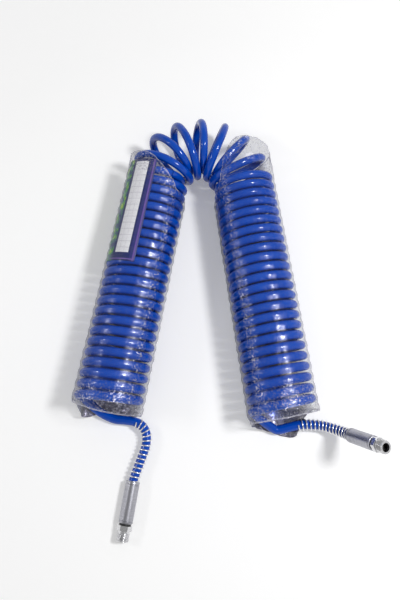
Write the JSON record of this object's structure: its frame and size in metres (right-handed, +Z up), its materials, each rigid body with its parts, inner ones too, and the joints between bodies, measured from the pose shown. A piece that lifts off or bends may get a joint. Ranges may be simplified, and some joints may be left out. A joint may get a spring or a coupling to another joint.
{
  "type": "coiled air hose",
  "caption": "Blue recoil air hose folded into a U in clear film, with spring guards, crimped ferrules and swivelling male adaptors.",
  "frame": {"origin": "on the ground under the middle of the bounding box of the whole hose", "axes": "+Z up from the surface that the hose lies on, +Y from the fittings to the bend, +X to the right seen from the fittings' end"},
  "size_m": [0.4062, 0.5986, 0.1075],
  "materials": {
    "hose_blue": "gloss",
    "clear_film": "gloss",
    "printed_card": "satin",
    "spring_wire": "polished",
    "brushed_ferrule": "brushed",
    "stem_steel": "machined",
    "washer_black": "matte",
    "ring_steel": "satin",
    "seal_rubber": "matte",
    "plated_adaptor": "polished"
  },
  "bodies": {
    "left_leg": {"hose_coil_left": "hose_blue", "hose_bend": "hose_blue", "film_sleeve_left": "clear_film", "label_card": "printed_card", "hose_tail_left": "hose_blue", "guard_spring_left": "spring_wire", "ferrule_left": "brushed_ferrule", "barbed_stem_left": "stem_steel", "thrust_washer_left": "washer_black", "retaining_ring_left": "ring_steel", "swivel_o_ring_left": "seal_rubber"},
    "right_leg": {"hose_coil_right": "hose_blue", "film_sleeve_right": "clear_film", "hose_tail_right": "hose_blue", "guard_spring_right": "spring_wire", "ferrule_right": "brushed_ferrule", "barbed_stem_right": "stem_steel", "thrust_washer_right": "washer_black", "retaining_ring_right": "ring_steel", "swivel_o_ring_right": "seal_rubber"},
    "adaptor_left": {"swivel_adaptor_left": "plated_adaptor"},
    "adaptor_right": {"swivel_adaptor_right": "plated_adaptor"}
  },
  "joints": [
    {"name": "leg_fold", "type": "hinge", "parent": "left_leg", "child": "right_leg", "pos_m": [-0.0377, 0.21143, 0.0433], "axis": [0, 0, 1], "range_deg": [-12, 30], "deforming": ["hose_bend"]},
    {"name": "swivel_left", "type": "hinge", "parent": "left_leg", "child": "adaptor_left", "pos_m": [-0.1251, -0.27989, 0.0095], "axis": [-0.135, -0.9908, 0], "continuous": true},
    {"name": "swivel_right", "type": "hinge", "parent": "right_leg", "child": "adaptor_right", "pos_m": [0.18889, -0.17462, 0.08745], "axis": [0.359, -0.191, 0.9136], "continuous": true}
  ]
}
